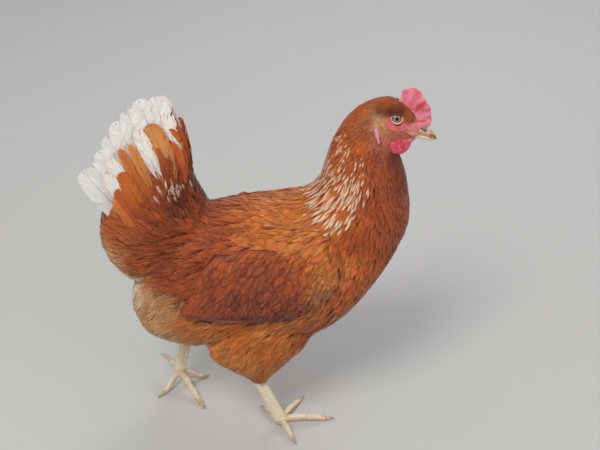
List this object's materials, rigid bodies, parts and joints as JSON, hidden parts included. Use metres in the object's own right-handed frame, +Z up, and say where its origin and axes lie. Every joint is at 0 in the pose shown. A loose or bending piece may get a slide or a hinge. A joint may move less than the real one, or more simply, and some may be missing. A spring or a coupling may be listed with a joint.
{
  "type": "hen",
  "caption": "Brown laying hen with a white-tipped tail held high, modelled at life size in mid-stride on both feet.",
  "frame": {"origin": "centre of the hen's bounding box in X and Y, on the floor under its feet", "axes": "+X the way the hen walks and faces, +Y towards its left side, +Z up"},
  "size_m": [0.3662, 0.1666, 0.4],
  "materials": {
    "plumage": "matte feathers",
    "tail_plumage": "matte feathers",
    "comb_skin": "satin skin",
    "leg_skin": "scaly satin skin",
    "horn": "satin horn",
    "earlobe_skin": "satin skin",
    "eye": "wet gloss"
  },
  "bodies": {
    "root": {"trunk": "plumage", "neck": "plumage", "head": "plumage", "wing_left": "plumage", "wing_right": "plumage", "tail_coverts": "plumage", "tail_fan_left": "tail_plumage", "tail_fan_right": "tail_plumage", "thigh_left": "plumage", "thigh_right": "plumage", "shank_left": "leg_skin", "shank_right": "leg_skin", "foot_left": "leg_skin", "foot_right": "leg_skin", "claw_left_1": "horn", "claw_left_2": "horn", "claw_left_3": "horn", "claw_left_4": "horn", "claw_right_1": "horn", "claw_right_2": "horn", "claw_right_3": "horn", "claw_right_4": "horn", "beak_upper": "horn", "beak_lower": "horn", "comb": "comb_skin", "wattle_left": "comb_skin", "wattle_right": "comb_skin", "earlobe_left": "earlobe_skin", "earlobe_right": "earlobe_skin", "eye_left": "eye", "eye_right": "eye"}
  },
  "joints": []
}
